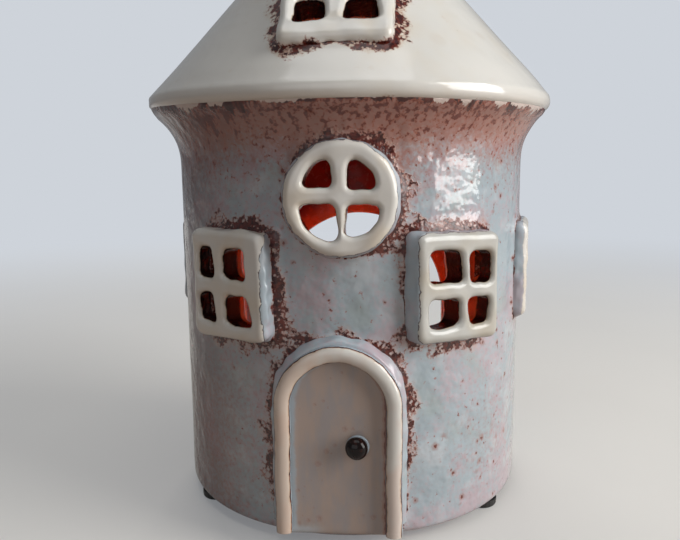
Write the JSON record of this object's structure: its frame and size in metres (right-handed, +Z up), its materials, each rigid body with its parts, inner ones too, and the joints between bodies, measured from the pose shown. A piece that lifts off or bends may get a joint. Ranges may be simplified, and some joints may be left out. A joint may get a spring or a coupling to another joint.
{
  "type": "tealight holder",
  "caption": "Round pottery cottage that holds a tealight, with pierced slab windows, a coil-framed door, a flared wall under a cone roof, and an open arch at the back.",
  "frame": {"origin": "on the surface that the feet stand on, under the middle of the house", "axes": "+Z up along the axis of the wall and the roof, the door faces -Y, the arch for the tealight is at +Y"},
  "size_m": [0.1336, 0.1336, 0.206],
  "materials": {
    "wall_glaze": "high-gloss grey-blue glaze that breaks to red-brown in ragged speckled halos",
    "roof_glaze": "high-gloss cream glaze",
    "window_glaze": "high-gloss cream glaze, dark brown in the panes",
    "door_glaze": "glossy taupe glaze",
    "coil_glaze": "high-gloss warm cream glaze with thin brown edges",
    "knob_glaze": "high-gloss black-brown glaze",
    "floor_clay": "glossy orange-red inside, bare clay underneath",
    "foot_rubber": "satin black",
    "cup_metal": "thin drawn sheet, satin",
    "candle_wax": "white wax, slightly translucent",
    "holder_metal": "plated sheet, satin",
    "wick_cotton": "braided cotton, waxed"
  },
  "bodies": {
    "house": {"body_wall": "wall_glaze", "floor_slab": "floor_clay", "roof_cone": "roof_glaze", "chimney_pot": "roof_glaze", "door_slab": "door_glaze", "door_coil": "coil_glaze", "door_knob": "knob_glaze", "front_left_window": "window_glaze", "front_right_window": "window_glaze", "side_left_window": "window_glaze", "side_right_window": "window_glaze", "round_window": "window_glaze", "roof_window": "window_glaze", "foot_front_left": "foot_rubber", "foot_front_right": "foot_rubber", "foot_back_left": "foot_rubber", "foot_back_right": "foot_rubber"},
    "tealight": {"tealight_cup": "cup_metal", "tealight_wax": "candle_wax", "wick_holder": "holder_metal", "tealight_wick": "wick_cotton"}
  },
  "joints": [
    {"name": "tealight_out", "type": "slide", "parent": "house", "child": "tealight", "axis": [0, 1, 0], "range_m": [0, 0.095]}
  ]
}
